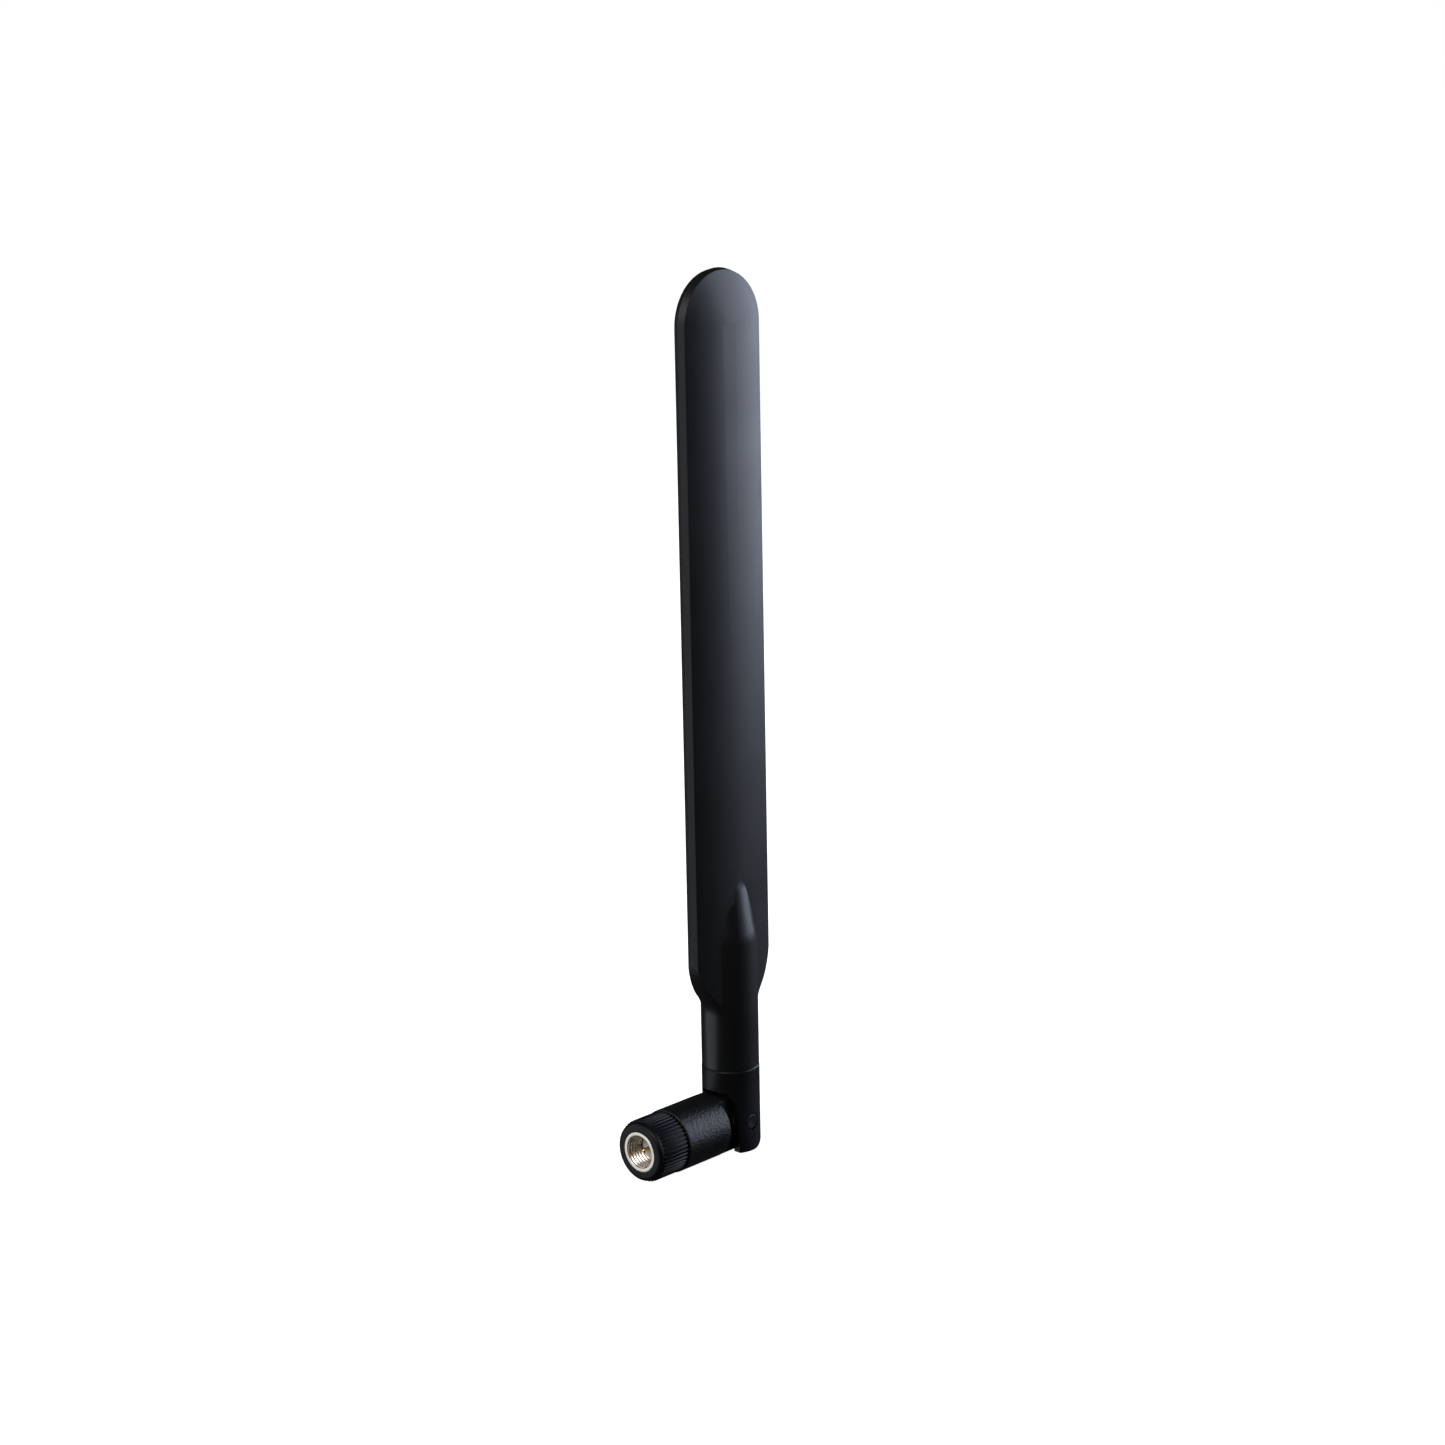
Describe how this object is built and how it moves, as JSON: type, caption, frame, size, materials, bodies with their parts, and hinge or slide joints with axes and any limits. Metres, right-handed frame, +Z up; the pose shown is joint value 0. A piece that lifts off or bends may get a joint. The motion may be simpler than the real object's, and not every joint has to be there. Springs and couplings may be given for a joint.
{
  "type": "hinged paddle antenna",
  "caption": "Black omnidirectional paddle antenna that tilts on a hinged arm and screws on by a knurled SMA plug.",
  "frame": {"origin": "centre of the SMA plug's mating plane, on the arm's axis, inside the coupling nut", "axes": "+Z up along the stem and blade, -X out of the plug towards the mating jack, -Y out of the blade's ribbed front face, tilt pins along Y"},
  "size_m": [0.0361, 0.0124, 0.1714],
  "materials": {
    "nickel_nut": "nickel plated brass, bright",
    "nickel_body": "nickel plated brass, bright",
    "black_grip": "satin moulded, knurled",
    "black_arm": "satin moulded",
    "black_knuckle": "satin moulded",
    "black_shell": "satin moulded with a fine texture",
    "black_pin": "satin moulded pin",
    "white_ptfe": "turned PTFE",
    "gold_contact": "gold plated",
    "orange_silicone": "silicone",
    "spring_bronze": "spring bronze",
    "copper_ferrule": "nickel plated crimp tube",
    "heat_shrink": "shrunk polyolefin",
    "cable_jacket": "brown FEP",
    "silver_braid": "silver plated braid",
    "clear_dielectric": "PTFE",
    "silver_conductor": "silver plated wire",
    "nylon_washer": "natural nylon",
    "green_board": "FR4 with solder mask",
    "copper_trace": "etched copper",
    "grey_foam": "closed cell foam",
    "solder": "tin solder"
  },
  "bodies": {
    "arm": {"connector_body": "nickel_body", "ptfe_insulator": "white_ptfe", "centre_contact": "gold_contact", "sealing_gasket": "orange_silicone", "retaining_ring": "spring_bronze", "crimp_ferrule": "copper_ferrule", "ferrule_sleeve": "heat_shrink", "arm_jacket": "cable_jacket", "arm_braid": "silver_braid", "arm_dielectric": "clear_dielectric", "arm_conductor": "silver_conductor", "arm_barrel": "black_arm", "friction_washer_front": "nylon_washer", "friction_washer_rear": "nylon_washer"},
    "blade": {"swivel_fork": "black_knuckle", "hinge_pin_front": "black_pin", "hinge_pin_rear": "black_pin", "front_shell": "black_shell", "rear_shell": "black_shell", "antenna_board": "green_board", "upper_radiator": "copper_trace", "lower_radiator": "copper_trace", "rear_patch": "copper_trace", "board_pads": "grey_foam", "feed_solder": "solder", "stem_sleeve": "heat_shrink", "hinge_cable": "cable_jacket", "stem_jacket": "cable_jacket", "stem_braid": "silver_braid", "stem_dielectric": "clear_dielectric", "stem_conductor": "silver_conductor"},
    "collar": {"coupling_nut": "nickel_nut", "knurled_collar": "black_grip"}
  },
  "joints": [
    {"name": "blade_tilt", "type": "hinge", "parent": "arm", "child": "blade", "pos_m": [0.02255, 0, 0], "axis": [0, 1, 0], "range_deg": [0, 90], "deforming": ["hinge_cable"]},
    {"name": "collar_spin", "type": "hinge", "parent": "arm", "child": "collar", "pos_m": [0, 0, 0], "axis": [-1, 0, 0], "continuous": true}
  ]
}
